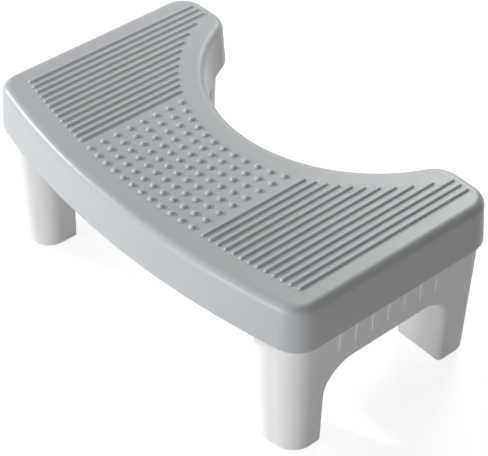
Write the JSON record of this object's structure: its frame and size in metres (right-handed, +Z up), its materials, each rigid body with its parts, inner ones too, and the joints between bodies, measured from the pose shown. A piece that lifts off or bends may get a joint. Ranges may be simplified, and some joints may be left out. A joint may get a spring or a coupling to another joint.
{
  "type": "toilet footstool",
  "caption": "Crescent footstool that stands round the front of a toilet, with a ridged and dotted hollow top on two arched hollow leg frames.",
  "frame": {"origin": "on the floor under the middle of the stool's length and depth", "axes": "+X to the right along the length, +Y towards the toilet (the recessed long side), +Z up"},
  "size_m": [0.4298, 0.2618, 0.1775],
  "materials": {
    "top_plastic": "satin light grey, fine moulded grain",
    "leg_plastic": "satin white, fine moulded grain",
    "pad_rubber": "matt grey",
    "screw_steel": "zinc plated"
  },
  "bodies": {
    "root": {"top_shell": "top_plastic", "leg_frame_left": "leg_plastic", "leg_frame_right": "leg_plastic", "foot_pad_front_left": "pad_rubber", "foot_pad_front_right": "pad_rubber", "foot_pad_rear_left": "pad_rubber", "foot_pad_rear_right": "pad_rubber", "screws_left": "screw_steel", "screws_right": "screw_steel"}
  },
  "joints": []
}
